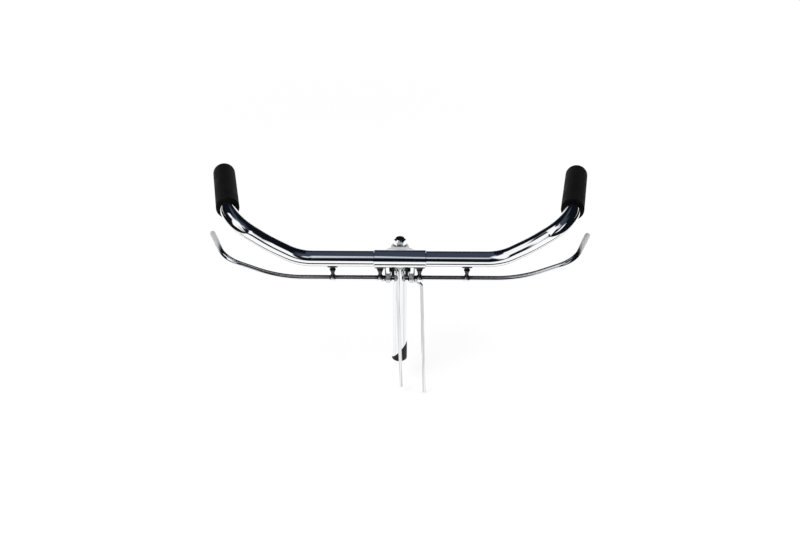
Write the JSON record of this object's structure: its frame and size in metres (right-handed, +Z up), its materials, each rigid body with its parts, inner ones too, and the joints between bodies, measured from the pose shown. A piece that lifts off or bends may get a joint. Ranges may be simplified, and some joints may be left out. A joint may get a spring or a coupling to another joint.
{
  "type": "roadster handlebar",
  "caption": "Chromed bent roadster handlebar on a quill stem with an expander wedge, closed black grips, and sprung rod-brake levers under the bar that lift hanging draw rods.",
  "frame": {"origin": "on the quill's axis, where the quill leaves the lower end of the stem lug", "axes": "+Z up the steering axis, -Y forward, +X to the right as seen from the front"},
  "size_m": [0.5382, 0.167, 0.3238],
  "materials": {
    "chrome_plate": "polished",
    "zinc_steel": "satin",
    "spring_steel": "satin",
    "black_steel": "matte",
    "grip_rubber": "matte"
  },
  "bodies": {
    "handlebar": {"handlebar_tube": "chrome_plate", "stem_lug": "chrome_plate", "quill_tube": "chrome_plate", "bolt_washer": "chrome_plate", "outer_left_bracket": "chrome_plate", "inner_left_bracket": "chrome_plate", "inner_right_bracket": "chrome_plate", "outer_right_bracket": "chrome_plate", "left_grip": "grip_rubber", "right_grip": "grip_rubber", "left_return_spring": "spring_steel", "right_return_spring": "spring_steel"},
    "bolt": {"expander_bolt": "chrome_plate"},
    "wedge": {"expander_wedge": "black_steel"},
    "left_lever": {"left_brake_lever": "chrome_plate", "left_crank_plate": "chrome_plate", "left_crank_washer": "zinc_steel", "left_crank_nut": "zinc_steel"},
    "left_rod": {"left_brake_rod": "chrome_plate", "left_rod_collar": "chrome_plate"},
    "right_lever": {"right_brake_lever": "chrome_plate", "right_crank_plate": "chrome_plate", "right_crank_washer": "zinc_steel", "right_crank_nut": "zinc_steel"},
    "right_rod": {"right_brake_rod": "chrome_plate", "right_rod_collar": "chrome_plate"}
  },
  "joints": [
    {"name": "left_lever_squeeze", "type": "hinge", "parent": "handlebar", "child": "left_lever", "pos_m": [0, -0.04, 0.0038], "axis": [1, 0, 0], "range_deg": [0, 25], "stiffness_Nm_per_rad": 0.8, "springref_deg": -22.92, "deforming": ["left_return_spring"]},
    {"name": "left_rod_hang", "type": "hinge", "parent": "left_lever", "child": "left_rod", "pos_m": [0, -0.023, 0.0068], "axis": [1, 0, 0], "range_deg": [-25, 0]},
    {"name": "right_lever_squeeze", "type": "hinge", "parent": "handlebar", "child": "right_lever", "pos_m": [0, -0.04, 0.0038], "axis": [1, 0, 0], "range_deg": [0, 25], "stiffness_Nm_per_rad": 0.8, "springref_deg": -22.92, "deforming": ["right_return_spring"]},
    {"name": "right_rod_hang", "type": "hinge", "parent": "right_lever", "child": "right_rod", "pos_m": [0, -0.023, 0.0068], "axis": [1, 0, 0], "range_deg": [-25, 0]},
    {"name": "bolt_turn", "type": "hinge", "parent": "handlebar", "child": "bolt", "pos_m": [0, 0, 0], "axis": [0, 0, 1], "range_deg": [0, 1440]},
    {"name": "wedge_draw", "type": "slide", "parent": "handlebar", "child": "wedge", "axis": [0, 0, -1], "range_m": [0, 0.005]}
  ],
  "couplings": [
    {"joint": "left_rod_hang", "follows": "left_lever_squeeze", "ratio": -1},
    {"joint": "right_rod_hang", "follows": "right_lever_squeeze", "ratio": -1},
    {"joint": "bolt_turn", "follows": "wedge_draw", "rad_per_m": 5026.5}
  ]
}
